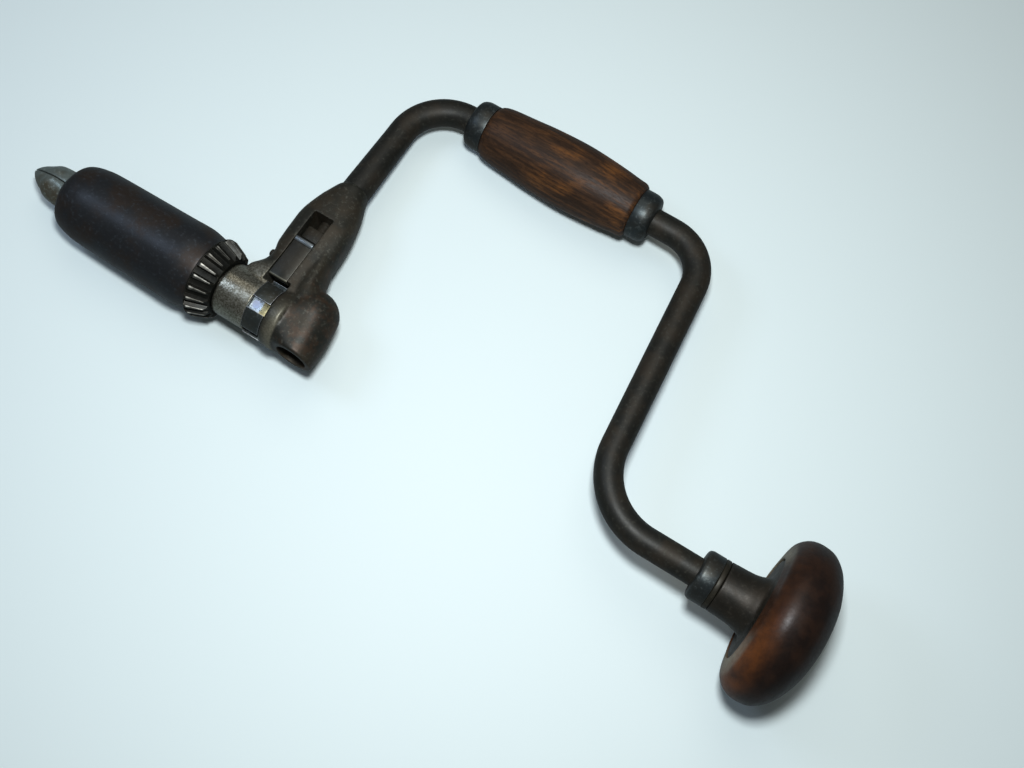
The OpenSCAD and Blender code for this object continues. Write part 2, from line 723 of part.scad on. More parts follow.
// A collar on the rod, its outer edge rounded: flip turns the rounded edge to the rear
module grip_collar(x0, flip) {
    r = grip_collar_d / 2;
    color([0.20, 0.21, 0.22])
        translate([x0 + (flip ? grip_collar_len : 0), crank_r, 0])
            mirror([flip ? 1 : 0, 0, 0])
                difference() {
                    turned(concat(
                        [[0, 0]],
                        curve([[0, r - 3], [0.4, r - 1.8], [1.2, r - 0.9], [3, r - 0.2], [4.4, r]], 3),
                        [[grip_collar_len, r], [grip_collar_len, 0]]
                    ));
                    bar(-1, grip_collar_len + 1, rod_d + 2 * seat_fit);
                }
}

module grip_collar_front() {
    grip_collar(grip_collar_x, false);
}

module grip_collar_rear() {
    grip_collar(grip_collar_rear_x, true);
}

module pad_collar() {
    r = pad_collar_d / 2;
    color([0.17, 0.16, 0.15])
        difference() {
            turned(concat(
                [[pad_collar_x, 0]],
                curve([[pad_collar_x, r - 1.8], [pad_collar_x + 0.4, r - 0.8], [pad_collar_x + 1.5, r - 0.1],
                       [pad_collar_x + 2.4, r]], 3),
                [[thrust_x, r], [thrust_x, 0]]
            ));
            bar(pad_collar_x - 1, thrust_x + 1, rod_d + 2 * seat_fit);
        }
}

module pad_thrust_washer() {
    r = pad_collar_d / 2;
    color([0.33, 0.25, 0.19])
        difference() {
            turned([
                [thrust_x, 0], [thrust_x, r - 0.5], [thrust_x + 0.4, r], [thrust_x + thrust_t - 0.4, r],
                [thrust_x + thrust_t, r - 0.4], [thrust_x + thrust_t, 0]
            ]);
            bar(thrust_x - 1, thrust_x + thrust_t + 1, rod_d + 2 * seat_fit);
        }
}

// The screws' places round the flange
module at_pad_screws() {
    for (i = [0 : pad_screw_count - 1])
        rotate([i * 360 / pad_screw_count + 30, 0, 0])
            translate([0, 0, pad_screw_circle / 2])
                children();
}

module pad_quill() {
    r = pad_collar_d / 2;
    color([0.22, 0.18, 0.16])
        difference() {
            turned(concat(
                [[quill_x, 0], [quill_x, r - 0.3], [quill_x + 0.3, r]],
                curve([[quill_x + 1, r], [quill_x + 9.9, r + 0.5], [quill_x + quill_len - 4.4, r + 1.7],
                       [flange_x - 0.4, r + 2.6], [flange_x, r + 3.2]], 3),
                [[flange_x, flange_d / 2 - 0.4], [flange_x + 0.4, flange_d / 2],
                 [flange_end_x, flange_d / 2], [flange_end_x, 0]]
            ));
            bar(quill_x - 1, flange_end_x + 1, pad_pin_d + 2 * run_fit);
            at_pad_screws() {
                bar(flange_x - 1, flange_end_x + 1, pad_screw_d + 2 * seat_fit);
                translate([flange_x, 0, 0])
                    rotate([0, 90, 0])
                        cylinder(h = sink_depth, d1 = screw_head_d + 2 * seat_fit, d2 = pad_screw_d);
            }
        }
}

module pad_nut_washer() {
    color([0.40, 0.40, 0.41])
        difference() {
            bar(nut_washer_x, nut_x0, nut_cavity_d - 3);
            bar(nut_washer_x - 1, nut_x0 + 1, pad_pin_d + 2 * seat_fit);
        }
}

module pad_nut() {
    color([0.38, 0.38, 0.39])
        difference() {
            translate([nut_x0, 0, 0])
                rotate([0, 90, 0])
                    cylinder(h = nut_t, d = nut_corners, $fn = 6);
            bar(nut_x0 - 1, nut_x0 + nut_t + 1, pad_pin_d + 2 * seat_fit);
        }
}

module pad() {
    r = pad_d / 2;
    outside = curve([
        [pad_x, flange_d / 2 + 0.4], [pad_x + 0.9, r - 8], [pad_x + 2.1, r - 4.6], [pad_x + 4.8, r - 2.2],
        [pad_x + 7.6, r - 0.6], [pad_x + 11.6, r], [pad_x + 16.6, r - 0.9], [pad_end_x - 8.9, r - 4.2],
        [pad_end_x - 6, r - 8.2], [pad_end_x - 3.8, r - 12.7], [pad_end_x - 2.4, r - 16.9],
        [pad_end_x - 1, r - 23.8], [pad_end_x - 0.2, 3.6], [pad_end_x, 0]
    ], 4);
    color([0.20, 0.11, 0.07])
        difference() {
            turned(concat([[pad_x, 0]], outside));
            bar(pad_x - 1, flange_end_x, flange_d + 0.8);
            bar(flange_x, nut_cavity_end_x, nut_cavity_d);
            at_pad_screws()
                bar(flange_x, flange_x + screw_len, pad_screw_d + 2 * seat_fit);
        }
}

module pad_screws() {
    color([0.36, 0.35, 0.34])
        at_pad_screws()
            difference() {
                turned([
                    [flange_x, 0], [flange_x, screw_head_d / 2], [flange_x + sink_depth, pad_screw_d / 2 - seat_fit],
                    [flange_x + screw_len - 2.5, pad_screw_d / 2], [flange_x + screw_len - 0.3, 0]
                ]);
                translate([flange_x - 1, -0.4, -big / 2])
                    cube([1.6, 0.8, big]);
            }
}

crank_frame();
spindle();
ratchet_wheel();
ratchet_pin();
bevel_ring();
pawl();
pawl_pin();
pawl_plunger();
pawl_spring();
chuck_shell();
jaw_upper();
jaw_lower();
jaw_spring();
grip();
grip_collar_front();
grip_collar_rear();
pad_collar();
pad_thrust_washer();
pad_quill();
pad_nut_washer();
pad_nut();
pad();
pad_screws();
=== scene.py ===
"""An old ratchet bit brace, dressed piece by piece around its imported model. Sizes are in millimetres
until they reach a mesh, which is in metres. +X runs along the spindle to the pad, +Y to the grip and
+Z to the viewer."""

import math

import bmesh
import bpy
from mathutils import Matrix, Vector


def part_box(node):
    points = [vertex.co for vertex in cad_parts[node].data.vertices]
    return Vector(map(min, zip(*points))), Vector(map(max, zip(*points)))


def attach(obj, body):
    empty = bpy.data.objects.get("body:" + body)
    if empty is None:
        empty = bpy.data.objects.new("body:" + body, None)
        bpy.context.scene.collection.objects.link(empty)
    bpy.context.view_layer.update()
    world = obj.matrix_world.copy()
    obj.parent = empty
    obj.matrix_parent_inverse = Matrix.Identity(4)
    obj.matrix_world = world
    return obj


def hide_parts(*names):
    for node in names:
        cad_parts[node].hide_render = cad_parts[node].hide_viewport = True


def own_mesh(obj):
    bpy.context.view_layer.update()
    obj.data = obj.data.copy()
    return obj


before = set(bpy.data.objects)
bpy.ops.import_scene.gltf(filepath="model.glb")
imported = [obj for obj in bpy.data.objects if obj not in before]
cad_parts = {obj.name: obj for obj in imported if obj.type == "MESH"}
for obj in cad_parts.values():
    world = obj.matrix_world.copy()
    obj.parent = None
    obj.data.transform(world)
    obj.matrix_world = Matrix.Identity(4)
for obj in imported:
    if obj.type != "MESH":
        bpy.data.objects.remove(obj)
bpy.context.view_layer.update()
MM = 0.001


# The camera stands over the brace, about half a metre off and towards the pad, and looks down at the
# crank. Its place, its aim and its upright were worked out from the brace's outlines in the photograph.
def add_object(name, data):
    """A new object in the scene that shows this data."""
    obj = bpy.data.objects.new(name, data)
    bpy.context.scene.collection.objects.link(obj)
    return obj


def standing(place, turn):
    """The placing of an object at a place in millimetres, turned by a 3 x 3 matrix."""
    return Matrix.Translation(Vector(place) * MM) @ turn.to_4x4()


camera_at = Vector((300.3, -125.2, 447.4))
camera_aim = Vector((227.85, 28.05, 0.0))
camera_upright = Vector((-0.506, 0.788, 0.352))
camera_lens = 40.44
camera_film = 36.0
camera_near = 10.0

camera = add_object("camera", bpy.data.cameras.new("camera"))
back = (camera_at - camera_aim).normalized()
right = camera_upright.cross(back).normalized()
camera.matrix_world = standing(camera_at, Matrix((right, back.cross(right), back)).transposed())
camera.data.lens = camera_lens
camera.data.sensor_width = camera_film
camera.data.clip_start = camera_near * MM
bpy.context.scene.camera = camera
bpy.context.scene.view_settings.view_transform = "Standard"


# The brace lies on a pale table, on three places: the pad's rim, the chuck and the belly of the grip.
# The table is one flat sheet of cool white under them. In reflections it is painted a darker grey, a
# painted shade on its reflection, so the old dull finishes mirror it only dimly.
def box_mm(node):
    """The lowest and highest corners of a node, in millimetres."""
    low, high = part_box(node)
    return low / MM, high / MM


def lowest_point(nodes, upward):
    """The point of those nodes, in millimetres, that lies furthest against the upward direction."""
    points = [v.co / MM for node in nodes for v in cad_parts[node].data.vertices]
    return min(points, key=lambda p: p.dot(upward))


def linear(code):
    """A colour written as six hexadecimal digits, as the shaders want it."""
    values = [int(code[i:i + 2], 16) / 255 for i in (0, 2, 4)]
    return [v / 12.92 if v <= 0.04045 else ((v + 0.055) / 1.055) ** 2.4 for v in values] + [1.0]


def new_paint(name):
    """A new material, with its tree of nodes and its surface shader."""
    paint = bpy.data.materials.new(name)
    paint.use_nodes = True
    return paint, paint.node_tree, paint.node_tree.nodes["Principled BSDF"]


def link(tree, source, node, socket):
    """Joins an output to one of a node's inputs."""
    tree.links.new(source, node.inputs[socket])


def tint(tree, share, under, over):
    """The under colour where share is 0 and the over colour where it is 1. Either is a hexadecimal
    colour or an output."""
    mix = tree.nodes.new("ShaderNodeMix")
    mix.data_type = "RGBA"
    share_input, under_input, over_input, colour_output = 0, 6, 7, 2
    for socket, colour in ((under_input, under), (over_input, over)):
        if isinstance(colour, str):
            mix.inputs[socket].default_value = linear(colour)
        else:
            link(tree, colour, mix, socket)
    link(tree, share, mix, share_input)
    return mix.outputs[colour_output]


resting = (["pad"], ["chuck_shell", "bevel_ring"], ["grip"])
settling_rounds = 6
table_slack = 0.2
table_half = 3000.0
table_roughness = 0.6
table_normal = Vector((0, 0, 1))
for settling in range(settling_rounds):
    at_pad, at_chuck, at_grip = [lowest_point(nodes, table_normal) for nodes in resting]
    table_normal = (at_chuck - at_pad).cross(at_grip - at_pad).normalized()
    if table_normal.z < 0:
        table_normal = -table_normal

table_mesh = bpy.data.meshes.new("table")
corners = [(x * table_half * MM, y * table_half * MM, 0)
           for x, y in ((-1, -1), (1, -1), (1, 1), (-1, 1))]
table_mesh.from_pydata(corners, [], [(0, 1, 2, 3)])
table = add_object("table", table_mesh)
table.matrix_world = standing((at_pad + at_chuck + at_grip) / 3 - table_normal * table_slack,
                              table_normal.to_track_quat("Z", "Y").to_matrix())

table_paint, table_tree, table_shader = new_paint("table_paint")
table_ray = table_tree.nodes.new("ShaderNodeLightPath")
# Painted shade on reflections: glossy rays see the table grey, the camera sees it white.
table_tone_darker_in_reflections = tint(table_tree, table_ray.outputs["Is Glossy Ray"], "dbe8e7", "7d8788")
link(table_tree, table_tone_darker_in_reflections, table_shader, "Base Color")
table_shader.inputs["Roughness"].default_value = table_roughness
table_mesh.materials.append(table_paint)


# Plain studio light: a pale world all round, one wide lamp over the table and a smaller one beside the
# camera, for the soft bright spots on the metal and the narrow shadow on the brace's near side. A faint
# bluish one past the chuck stands for a window and lays the cool band along the chuck's shell.
def lamp(name, place, aim, size, power, colour):
    """A square lamp of that size, at a place and turned to what it lights, all in millimetres."""
    data = bpy.data.lights.new(name, "AREA")
    data.size = size * MM
    data.energy = power
    data.color = linear(colour)[:3]
    away = (Vector(place) - Vector(aim)).to_track_quat("Z", "Y").to_matrix()
    add_object(name, data).matrix_world = standing(place, away)


world_strength = 0.09
world = bpy.data.worlds.new("studio")
world.use_nodes = True
bpy.context.scene.world = world
world_light = world.node_tree.nodes["Background"]
world_light.inputs["Color"].default_value = linear("eef4f8")
world_light.inputs["Strength"].default_value = world_strength

beside_camera = camera_at + camera_upright * 90 + right * 10
lamp("lamp_over", place=(80, 420, 900), aim=camera_aim, size=700, power=1.6, colour="fff8ee")
lamp("lamp_near", place=beside_camera, aim=camera_aim, size=60, power=2.45, colour="f6fbff")
lamp("lamp_window", place=(-210, -60, 520), aim=(60, 0, 18), size=220, power=0.7, colour="cfe0fb")


# The crank's rod is one round steel bar, drawn from the forged head and bent three times: at the
# head's arm, after the grip, and at the foot of the long arm. Old brown-black patina covers it.
def new_piece(name, points, faces, body):
    """A mesh of points in millimetres, which rides on a body and takes its finish from a slot."""
    mesh = bpy.data.meshes.new(name)
    mesh.from_pydata([(p[0] * MM, p[1] * MM, p[2] * MM) for p in points], [], faces)
    mesh.update()
    mesh.shade_smooth()
    obj = add_object(name, mesh)
    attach(obj, body)
    return obj


def rounded_path(corners, radii, step):
    """Points along a line of straight runs whose corners are rounded to those radii."""
    points = [corners[0]]
    for before, corner, after, radius in zip(corners, corners[1:], corners[2:], radii):
        incoming = (corner - before).normalized()
        outgoing = (after - corner).normalized()
        angle = incoming.angle(outgoing)
        setback = radius * math.tan(angle / 2)
        start = corner - incoming * setback
        sideways = (outgoing - incoming * incoming.dot(outgoing)).normalized()
        centre = start + sideways * radius
        count = max(4, round(radius * angle / step))
        axis = incoming.cross(outgoing).normalized()
        points += [centre + Matrix.Rotation(angle * i / count, 3, axis) @ (start - centre)
                   for i in range(count + 1)]
    return points + [corners[-1]]


def spread(points, longest):
    """The same line with points added until no run is longer than that."""
    result = [points[0]]
    for a, b in zip(points, points[1:]):
        count = max(1, math.ceil((b - a).length / longest))
        result += [a.lerp(b, i / count) for i in range(1, count + 1)]
    return result


def swept_bar(name, path, radius_at, sides, body):
    """A round bar along a line in the XY plane, closed at both ends, whose radius may change."""
    points = []
    faces = []
    last = len(path) - 1
    for i, p in enumerate(path):
        ahead = (path[min(i + 1, last)] - path[max(i - 1, 0)]).normalized()
        across = Vector((-ahead.y, ahead.x, 0))
        radius = radius_at(p)
        for k in range(sides):
            a = 2 * math.pi * k / sides
            points.append(p + across * radius * math.cos(a) + Vector((0, 0, radius * math.sin(a))))
    for i in range(last):
        for k in range(sides):
            n = (k + 1) % sides
            faces.append((i * sides + k, i * sides + n, (i + 1) * sides + n, (i + 1) * sides + k))
    faces.append(tuple(range(sides)))
    faces.append(tuple(reversed(range(last * sides, (last + 1) * sides))))
    return new_piece(name, points, faces, body)


grip_low, grip_high = box_mm("grip")
washer_high = box_mm("pad_thrust_washer")[1]
grip_y = (grip_low.y + grip_high.y) / 2
rod_radius = box_mm("crank_frame")[1].y - grip_y
head_arm_x = 122.2
head_arm_radius = 6.8
taper_start_y = 68
taper_length = 32
grip_span = 146.3
arm_lean = 11.7
rod_bends = (22.5, 20.0, 31.0)
rod_start_y = 60.0
rod_sides = 48
rod_corners = [
    Vector((head_arm_x, rod_start_y, 0)),
    Vector((head_arm_x, grip_y, 0)),
    Vector((head_arm_x + grip_span, grip_y, 0)),
    Vector((head_arm_x + grip_span + arm_lean, 0, 0)),
    Vector((washer_high.x, 0, 0)),
]


def rod_radius_at(p):
    """The rod is a little thicker in the head's arm and thins up to the first bend."""
    if p.x < head_arm_x + 1:
        share = min(1.0, max(0.0, (p.y - taper_start_y) / taper_length))
        return head_arm_radius + (rod_radius - head_arm_radius) * share
    return rod_radius


rod_line = spread(rounded_path(rod_corners, rod_bends, step=1.6), longest=6.0)
rod = swept_bar("crank_rod", rod_line, rod_radius_at, rod_sides, "frame")
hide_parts("crank_frame")


# The metal's finish is patina over steel: a dark colour broken by browner and greyer clouds, fine
# specks that catch the light, and brighter metal where an edge or a swelling has rubbed.
def clouds(tree, size, detail=3.0, rough=0.55, stretch=(1, 1, 1)):
    """Soft noise over the piece. Size is the width of a cloud in millimetres, and stretch lengthens
    it along an axis."""
    place = tree.nodes.new("ShaderNodeTexCoord")
    scaled = tree.nodes.new("ShaderNodeMapping")
    scaled.inputs["Scale"].default_value = [1 / (size * MM * s) for s in stretch]
    noise = tree.nodes.new("ShaderNodeTexNoise")
    noise.inputs["Scale"].default_value = 1.0
    noise.inputs["Detail"].default_value = detail
    noise.inputs["Roughness"].default_value = rough
    link(tree, place.outputs["Object"], scaled, "Vector")
    link(tree, scaled.outputs["Vector"], noise, "Vector")
    return noise.outputs["Fac"]


def ramp(tree, value, low, high, start=0.0, end=1.0):
    """Start below low, end above high, and a smooth step between them."""
    step = tree.nodes.new("ShaderNodeMapRange")
    step.interpolation_type = "SMOOTHSTEP"
    step.inputs["From Min"].default_value = low
    step.inputs["From Max"].default_value = high
    step.inputs["To Min"].default_value = start
    step.inputs["To Max"].default_value = end
    link(tree, value, step, "Value")
    return step.outputs["Result"]


def calc(tree, kind, a, b=0.0):
    """One step of arithmetic on one or two values, each of which may be a number."""
    maths = tree.nodes.new("ShaderNodeMath")
    maths.operation = kind
    for k, v in enumerate((a, b)):
        if isinstance(v, (int, float)):
            maths.inputs[k].default_value = v
        else:
            link(tree, v, maths, k)
    return maths.outputs["Value"]


def times(tree, value, *factors):
    """The product of a value and its factors."""
    for factor in factors:
        value = calc(tree, "MULTIPLY", value, factor)
    return value


def rubbed_edges(tree, width, low, high):
    """1 on edges sharper than the width's rounding, 0 on open faces."""
    rounded = tree.nodes.new("ShaderNodeBevel")
    rounded.samples = 6
    rounded.inputs["Radius"].default_value = width * MM
    plain = tree.nodes.new("ShaderNodeNewGeometry")
    dot = tree.nodes.new("ShaderNodeVectorMath")
    dot.operation = "DOT_PRODUCT"
    link(tree, rounded.outputs["Normal"], dot, 0)
    link(tree, plain.outputs["Normal"], dot, 1)
    return ramp(tree, calc(tree, "SUBTRACT", 1.0, dot.outputs["Value"]), low, high)


def place_along(tree, axis):
    """The place along X, Y or Z in millimetres."""
    place = tree.nodes.new("ShaderNodeTexCoord")
    split = tree.nodes.new("ShaderNodeSeparateXYZ")
    link(tree, place.outputs["Object"], split, "Vector")
    return calc(tree, "DIVIDE", split.outputs[axis], MM)


def from_spindle(tree):
    """The distance from the spindle's axis in millimetres."""
    across = calc(tree, "POWER", place_along(tree, "Y"), 2.0)
    up = calc(tree, "POWER", place_along(tree, "Z"), 2.0)
    return calc(tree, "SQRT", calc(tree, "ADD", across, up))


def bumped(tree, shader, height, depth):
    """Raises the surface by height, which runs from 0 to 1, over a depth in millimetres."""
    bump = tree.nodes.new("ShaderNodeBump")
    bump.inputs["Strength"].default_value = 1.0
    bump.inputs["Distance"].default_value = depth * MM
    link(tree, height, bump, "Height")
    link(tree, bump.outputs["Normal"], shader, "Normal")


def metal(name, dark, brown, grey, metallic, rough, bright="a7a299", edge=0.35, pits=0.04, worn=None):
    """A patinated metal. The shares of brown and grey come from clouds, bright shows on rubbed edges,
    and rough is the range of its roughness. worn, where given, adds what is particular to one piece."""
    patina_gloss = 0.32
    most_grey = 0.55
    paint, tree, shader = new_paint(name)
    shader.inputs["Metallic"].default_value = metallic
    shader.inputs["Specular IOR Level"].default_value = patina_gloss
    wide = clouds(tree, size=14.0, detail=4.0)
    fine = clouds(tree, size=1.6, detail=4.0, rough=0.65)
    colour = tint(tree, ramp(tree, wide, 0.42, 0.66), dark, brown)
    colour = tint(tree, times(tree, ramp(tree, fine, 0.52, 0.74), most_grey), colour, grey)
    rubbed = rubbed_edges(tree, width=0.5, low=0.02, high=0.2)
    colour = tint(tree, times(tree, rubbed, edge), colour, bright)
    both = calc(tree, "ADD", times(tree, wide, 0.6), times(tree, fine, 0.4))
    roughness = ramp(tree, both, 0.35, 0.65, *rough)
    if worn:
        colour, roughness = worn(tree, shader, colour, roughness)
    link(tree, colour, shader, "Base Color")
    link(tree, roughness, shader, "Roughness")
    bumped(tree, shader, clouds(tree, size=0.7, detail=5.0, rough=0.7), pits)
    return paint


def dress(obj, paint):
    """The piece gets this finish and no other."""
    obj.data.materials.clear()
    obj.data.materials.append(paint)


forged_finish = metal("forged_steel", "21211d", "2d2820", "43433b", metallic=0.4, rough=(0.43, 0.58))
dress(rod, forged_finish)


# The head is one forging with the rod: an oval arm with a slot for the pawl, a collar that carries
# the spindle's front journal, and behind the ratchet wheel a cheek that swells into the socket for a
# side crank.
def value_at(stations, place):
    """The value at a place, along straight runs through (place, value) stations."""
    if place <= stations[0][0]:
        return stations[0][1]
    for (a, value_a), (b, value_b) in zip(stations, stations[1:]):
        if place <= b:
            share = (place - a) / (b - a)
            return value_a + (value_b - value_a) * share
    return stations[-1][1]


def add_points(bm, points):
    """Adds loose points to a mesh under work."""
    return [bm.verts.new(p) for p in points]


def loft(bm, rings):
    """Joins rings of as many points each into a closed skin."""
    rows = [add_points(bm, ring) for ring in rings]
    count = len(rows[0])
    for a, b in zip(rows, rows[1:]):
        for k in range(count):
            n = (k + 1) % count
            bm.faces.new((a[k], a[n], b[n], b[k]))
    bm.faces.new(list(reversed(rows[0])))
    bm.faces.new(rows[-1])


disc_sides = 48
disc_turns = [2 * math.pi * k / disc_sides for k in range(disc_sides)]


def disc_about_x(x, radius):
    """Points of a circle about the spindle's axis."""
    return [(x, radius * math.cos(a), radius * math.sin(a)) for a in disc_turns]


def disc_about_y(x, y, radius):
    """Points of a circle about a line along Y."""
    return [(x + radius * math.cos(a), y, -radius * math.sin(a)) for a in disc_turns]


def modify(obj, kind, **settings):
    """Adds a modifier with these settings and applies it."""
    modifier = obj.modifiers.new(kind.lower(), kind)
    for key, value in settings.items():
        setattr(modifier, key, value)
    depsgraph = bpy.context.evaluated_depsgraph_get()
    result = bpy.data.meshes.new_from_object(obj.evaluated_get(depsgraph))
    obj.modifiers.clear()
    old = obj.data
    obj.data = result
    bpy.data.meshes.remove(old)


def from_bmesh(bm, name, body):
    """A piece from a mesh that was drawn in millimetres."""
    bmesh.ops.recalc_face_normals(bm, faces=bm.faces)
    obj = new_piece(name, [v.co.copy() for v in bm.verts],
                    [[v.index for v in f.verts] for f in bm.faces], body)
    bm.free()
    return obj


ring_low, ring_high = box_mm("bevel_ring")
wheel_low, wheel_high = box_mm("ratchet_wheel")
pawl_low, pawl_high = box_mm("pawl")
collar_x = ring_high.x + 0.3
collar_radius = 11.9
window_x = wheel_low.x - 0.2
window_end_x = wheel_high.x + 0.2
window_top_y = 13.0
cheek_radius = 13.3
socket_x = window_end_x + 15.9
socket_radius = 9.8
socket_mouth_y = -11.7
shoulder_radius = 11.8
slot_x = (pawl_low.x + pawl_high.x) / 2
slot_half = 4.75
slot_foot_y = 9.0
slot_top_y = box_mm("pawl_plunger")[1].y - 4
arm_sides = 64
arm_left = [
    (0, 105.4), (12.5, 105.5), (13.8, 106.2), (15.6, 107.9), (17.8, 109.7), (21, 110.8), (23.5, 110.8),
    (28, 109.4), (34, 109.0), (44, 108.7), (48, 109.0), (52.2, 109.9), (57.9, 111.4), (62.0, 113.0),
    (65.0, 114.2), (66.4, 115.0), (67.2, 116.2)]
arm_right = [
    (0, 136), (18, 136.6), (23, 137.2), (27, 136.3), (35, 135.8), (42, 135.4), (48.7, 134.4),
    (55.4, 133.0), (60, 131.5), (64.8, 129.6), (67.2, 129.0), (68.2, 128.4)]
arm_thick = [(0, 9.5), (44, 9.5), (54, 8.9), (62, 8.0), (66.5, 7.5), (67.6, 7.1), (68.2, 6.7)]
arm_squareness = [(0, 3.2), (44, 3.0), (68, 2.1)]
arm_heights = [
    0, 4, 8, 10, 12.5, 13.8, 15.6, 17.8, 19.5, 21, 23.5, 26, 28, 31, 34, 39, 44, 48, 52.2, 55.4, 57.9,
    60, 62.7, 64.8, 66.2, 67.4, 68.2]


def arm_ring(y):
    """The arm's section at a height: an oval with flattened faces, rounder towards the rod."""
    left = value_at(arm_left, y)
    right = value_at(arm_right, y)
    thick = value_at(arm_thick, y)
    flatten = 2 / value_at(arm_squareness, y)
    points = []
    for k in range(arm_sides):
        a = 2 * math.pi * k / arm_sides
        c = math.cos(a)
        s = math.sin(a)
        x = (left + right) / 2 + (right - left) / 2 * math.copysign(abs(c) ** flatten, c)
        points.append((x, y, -thick * math.copysign(abs(s) ** flatten, s)))
    return points


head_mesh = bmesh.new()
loft(head_mesh, [arm_ring(y) for y in arm_heights])
loft(head_mesh, [disc_about_x(collar_x, collar_radius - 0.5),
                 disc_about_x(collar_x + 0.5, collar_radius),
                 disc_about_x(window_x + 1, collar_radius)])
loft(head_mesh, [disc_about_x(window_end_x - 1, cheek_radius - 1.6),
                 disc_about_x(window_end_x + 1, cheek_radius - 0.3),
                 disc_about_x(window_end_x + 5.4, cheek_radius),
                 disc_about_x(window_end_x + 6.2, cheek_radius - 0.5)])


def forged_lump(name, rings, balls):
    """Adds to the head the tight skin round some rings of points and some balls of (centre, radii)."""
    lump = bmesh.new()
    for points in rings:
        add_points(lump, points)
    for centre, radii in balls:
        bmesh.ops.create_icosphere(lump, subdivisions=4, radius=1.0,
                                   matrix=Matrix.Translation(centre) @ Matrix.Diagonal((*radii, 1)))
    hull = bmesh.ops.convex_hull(lump, input=lump.verts)
    inside = [g for g in hull["geom_interior"] if isinstance(g, bmesh.types.BMVert)]
    bmesh.ops.delete(lump, geom=inside, context="VERTS")
    skin = set(hull["geom"])
    bmesh.ops.delete(lump, geom=[f for f in lump.faces if f not in skin], context="FACES")
    mesh = bpy.data.meshes.new(name)
    lump.to_mesh(mesh)
    lump.free()
    head_mesh.from_mesh(mesh)


boss_rings = [disc_about_x(window_end_x + 4.4, cheek_radius - 1.4),
              disc_about_y(socket_x, socket_mouth_y, socket_radius - 0.5),
              disc_about_y(socket_x, socket_mouth_y + 0.6, socket_radius),
              disc_about_y(socket_x, 2, socket_radius - 0.2)]
shoulder = ((socket_x - 3.1, 8, 0), (shoulder_radius - 0.2, shoulder_radius, shoulder_radius))
neck_foot = ((socket_x - 5.6, 8, 0), (9.0, 9.2, 11.3))
neck_top = ((130.0, 24, 0), (4.6, 5.0, 9.1))
ridge_top = ((129.8, 36, 0), (3.8, 7.0, 8.4))
ridge_foot = ((socket_x - 8.4, 11, 0), (5.6, 8.0, 11.0))
forged_lump("boss", boss_rings, [shoulder])
forged_lump("neck", [], [neck_foot, neck_top])
forged_lump("ridge", [], [ridge_top, ridge_foot])
head_mesh.verts.index_update()
head = from_bmesh(head_mesh, "forged_head", "frame")
rough_grain = 0.5
modify(head, "REMESH", mode="VOXEL", voxel_size=rough_grain * MM)
modify(head, "SMOOTH", factor=0.5, iterations=14)


def hollow_beside_slot(mesh):
    """The forging is hollowed between the slot's rib and the ridge that runs down to the socket's
    shoulder, on both faces of the arm."""
    hollow_line = [(16, 129.5), (30, 130.5), (44, 131.5)]
    middle_y, half_length, half_width, depth, face_z = 30, 18, 2.6, 0.6, 4
    for v in mesh.vertices:
        x, y, z = v.co / MM
        if abs(z) > face_z:
            across = (x - value_at(hollow_line, y)) / half_width
            along = max(0.0, 1 - abs((y - middle_y) / half_length) ** 3)
            v.co.z -= math.copysign(depth * math.exp(-across * across) * along * MM, z)


hollow_beside_slot(head.data)


def cutter(name, centre, size, axis=None):
    """What a hole is cut with: a box, or with an axis a round bar of (diameter, length) along it."""
    tool = bmesh.new()
    turn = Vector(axis or (0, 0, 1)).to_track_quat("Z", "Y").to_matrix().to_4x4()
    if axis:
        bmesh.ops.create_cone(tool, cap_ends=True, segments=64, radius1=size[0] / 2,
                              radius2=size[0] / 2, depth=size[1])
    else:
        bmesh.ops.create_cube(tool, size=1.0, matrix=Matrix.Diagonal((*size, 1)))
    bmesh.ops.transform(tool, matrix=Matrix.Translation(centre) @ turn, verts=tool.verts)
    bmesh.ops.scale(tool, vec=(MM, MM, MM), verts=tool.verts)
    mesh = bpy.data.meshes.new(name)
    tool.to_mesh(mesh)
    tool.free()
    return add_object(name, mesh)


def cut(obj, tool):
    """Takes the tool's shape out of the piece and puts the tool away."""
    modify(obj, "BOOLEAN", operation="DIFFERENCE", object=tool, solver="EXACT")
    bpy.data.objects.remove(tool)


along_x = (1, 0, 0)
along_y = (0, 1, 0)
front_journal = 14.1
socket_bore = 14.0
socket_depth = 22.0
plunger_bore = 5.1
journal_length = 40
plunger_hole_length = 26
past_head = 80
below_head = 100
past_mouth = 10
window_centre = ((window_x + window_end_x) / 2, window_top_y - below_head / 2, 0)
cut(head, cutter("window", window_centre, (window_end_x - window_x, below_head, past_head)))
slot_centre = (slot_x, (slot_top_y + slot_foot_y) / 2, 0)
cut(head, cutter("slot", slot_centre, (2 * slot_half, slot_top_y - slot_foot_y, past_head)))
cut(head, cutter("front_bearing", (window_x - 5, 0, 0), (front_journal, journal_length), along_x))
socket_centre = (socket_x, socket_mouth_y + (socket_depth - past_mouth) / 2, 0)
cut(head, cutter("socket", socket_centre, (socket_bore, socket_depth + past_mouth), along_y))
plunger_hole = (plunger_bore, plunger_hole_length)
cut(head, cutter("plunger_hole", (slot_x, slot_top_y, 0), plunger_hole, along_y))
fine_grain = 0.32
modify(head, "REMESH", mode="VOXEL", voxel_size=fine_grain * MM)
modify(head, "SMOOTH", factor=0.5, iterations=3)
head.data.shade_smooth()


